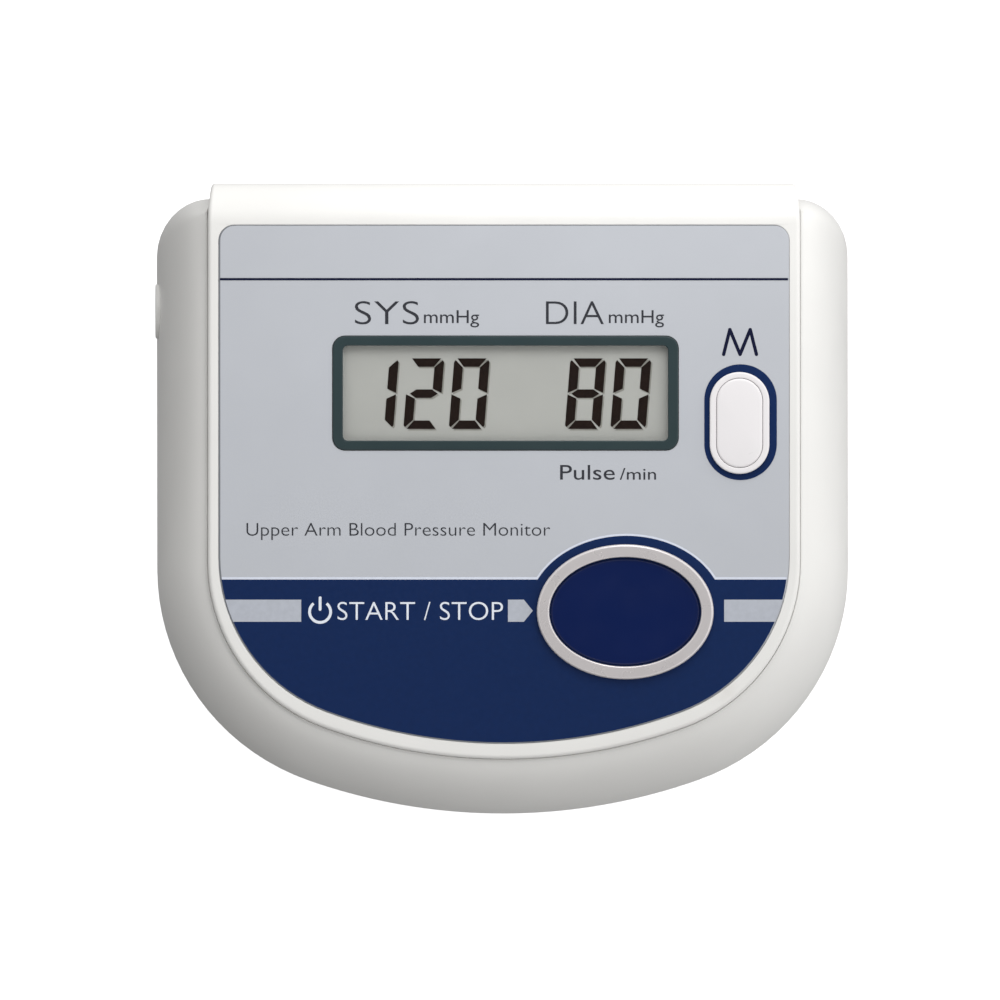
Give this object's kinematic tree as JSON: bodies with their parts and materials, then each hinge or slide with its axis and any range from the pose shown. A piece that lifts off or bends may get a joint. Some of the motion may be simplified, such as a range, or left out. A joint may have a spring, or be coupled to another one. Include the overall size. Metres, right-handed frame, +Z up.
{
  "type": "upper arm blood pressure monitor",
  "caption": "Table-top upper arm blood pressure monitor with a sloping face, segment display, oval start button, memory button, air pump, valve, air socket and battery bay.",
  "frame": {"origin": "on the table, under the middle of the unit", "axes": "+X to the user's right, +Y away from the user, +Z up; the user sits on the -Y side"},
  "size_m": [0.1393, 0.1234, 0.052],
  "materials": {
    "shell_white": "satin moulded ABS, very fine texture",
    "button_white": "smooth satin",
    "button_navy": "smooth satin, slightly domed",
    "satin_silver": "pearl silver lacquer on plastic",
    "overlay_grey": "printed polycarbonate film, fine matte",
    "frame_grey": "smooth satin",
    "clear_window": "clear acrylic",
    "display_grey": "liquid crystal cell with reflector",
    "black_rubber": "matt",
    "grey_rubber": "matt",
    "silicone": "translucent, soft",
    "dark_plastic": "fine texture",
    "white_plastic": "smooth",
    "board_green": "solder resist on glass epoxy",
    "steel": "zinc plated",
    "can_metal": "plated can",
    "spring_steel": "nickel plated",
    "brass": "turned",
    "cell_jacket": "printed sleeve"
  },
  "bodies": {
    "case": {"top_cover": "shell_white", "side_surround": "shell_white", "lower_case": "shell_white", "air_socket": "shell_white", "memory_ring": "button_white", "start_ring": "satin_silver", "face_overlay": "overlay_grey", "lcd_frame": "frame_grey", "lcd_window": "clear_window", "lcd_glass": "display_grey", "lcd_connector": "black_rubber", "pump_diaphragm": "black_rubber", "foot_back_left": "grey_rubber", "foot_back_right": "grey_rubber", "foot_front_left": "grey_rubber", "foot_front_right": "grey_rubber", "pump_tube": "silicone", "socket_tube": "silicone", "valve_tube": "silicone", "sensor_tube": "silicone", "controller_chip": "dark_plastic", "smoothing_capacitor": "dark_plastic", "beeper": "dark_plastic", "start_switch": "dark_plastic", "memory_switch": "dark_plastic", "pump_housing": "dark_plastic", "dc_jack": "dark_plastic", "lcd_carrier": "white_plastic", "pressure_sensor": "white_plastic", "pump_head": "white_plastic", "air_manifold": "white_plastic", "main_board": "board_green", "board_screw_1": "steel", "board_screw_2": "steel", "case_screw_back_left": "steel", "case_screw_back_right": "steel", "case_screw_front_left": "steel", "case_screw_front_right": "steel", "pump_motor": "can_metal", "valve_body": "can_metal", "valve_spring": "spring_steel", "contact_front_left": "spring_steel", "contact_front_right": "spring_steel", "contact_back_left": "spring_steel", "contact_back_middle": "spring_steel", "contact_back_right": "spring_steel", "dc_jack_pin": "brass", "battery_cell_1": "cell_jacket", "battery_cell_2": "cell_jacket", "battery_cell_3": "cell_jacket", "battery_cell_4": "cell_jacket"},
    "start_button": {"start_button": "button_navy"},
    "start_switch_plunger": {"start_switch_plunger": "white_plastic"},
    "memory_button": {"memory_button": "button_white"},
    "memory_switch_plunger": {"memory_switch_plunger": "white_plastic"},
    "battery_cover": {"battery_cover": "shell_white"},
    "pump_rotor": {"pump_shaft": "steel", "pump_eccentric": "brass"},
    "valve_plunger": {"valve_plunger": "steel"}
  },
  "joints": [
    {"name": "start_press", "type": "slide", "parent": "case", "child": "start_button", "axis": [0, 0.1392, -0.9903], "range_m": [0, 0.0005], "stiffness_N_per_m": 600, "springref_m": -0.001},
    {"name": "start_switch_press", "type": "slide", "parent": "case", "child": "start_switch_plunger", "axis": [0, 0.1392, -0.9903], "range_m": [0, 0.0005]},
    {"name": "memory_press", "type": "slide", "parent": "case", "child": "memory_button", "axis": [0, 0.1392, -0.9903], "range_m": [0, 0.0005], "stiffness_N_per_m": 600, "springref_m": -0.001},
    {"name": "memory_switch_press", "type": "slide", "parent": "case", "child": "memory_switch_plunger", "axis": [0, 0.1392, -0.9903], "range_m": [0, 0.0005]},
    {"name": "battery_cover_slide", "type": "slide", "parent": "case", "child": "battery_cover", "axis": [0, 1, 0], "range_m": [0, 0.068]},
    {"name": "pump_spin", "type": "hinge", "parent": "case", "child": "pump_rotor", "pos_m": [-0.02, -0.028, 0.0168], "axis": [-1, 0, 0], "continuous": true},
    {"name": "valve_close", "type": "slide", "parent": "case", "child": "valve_plunger", "axis": [0, -1, 0], "range_m": [0, 0.00035], "stiffness_N_per_m": 200, "springref_m": -0.002, "deforming": ["valve_spring"]}
  ],
  "couplings": [
    {"joint": "start_switch_press", "follows": "start_press", "ratio": 1},
    {"joint": "memory_switch_press", "follows": "memory_press", "ratio": 1}
  ]
}
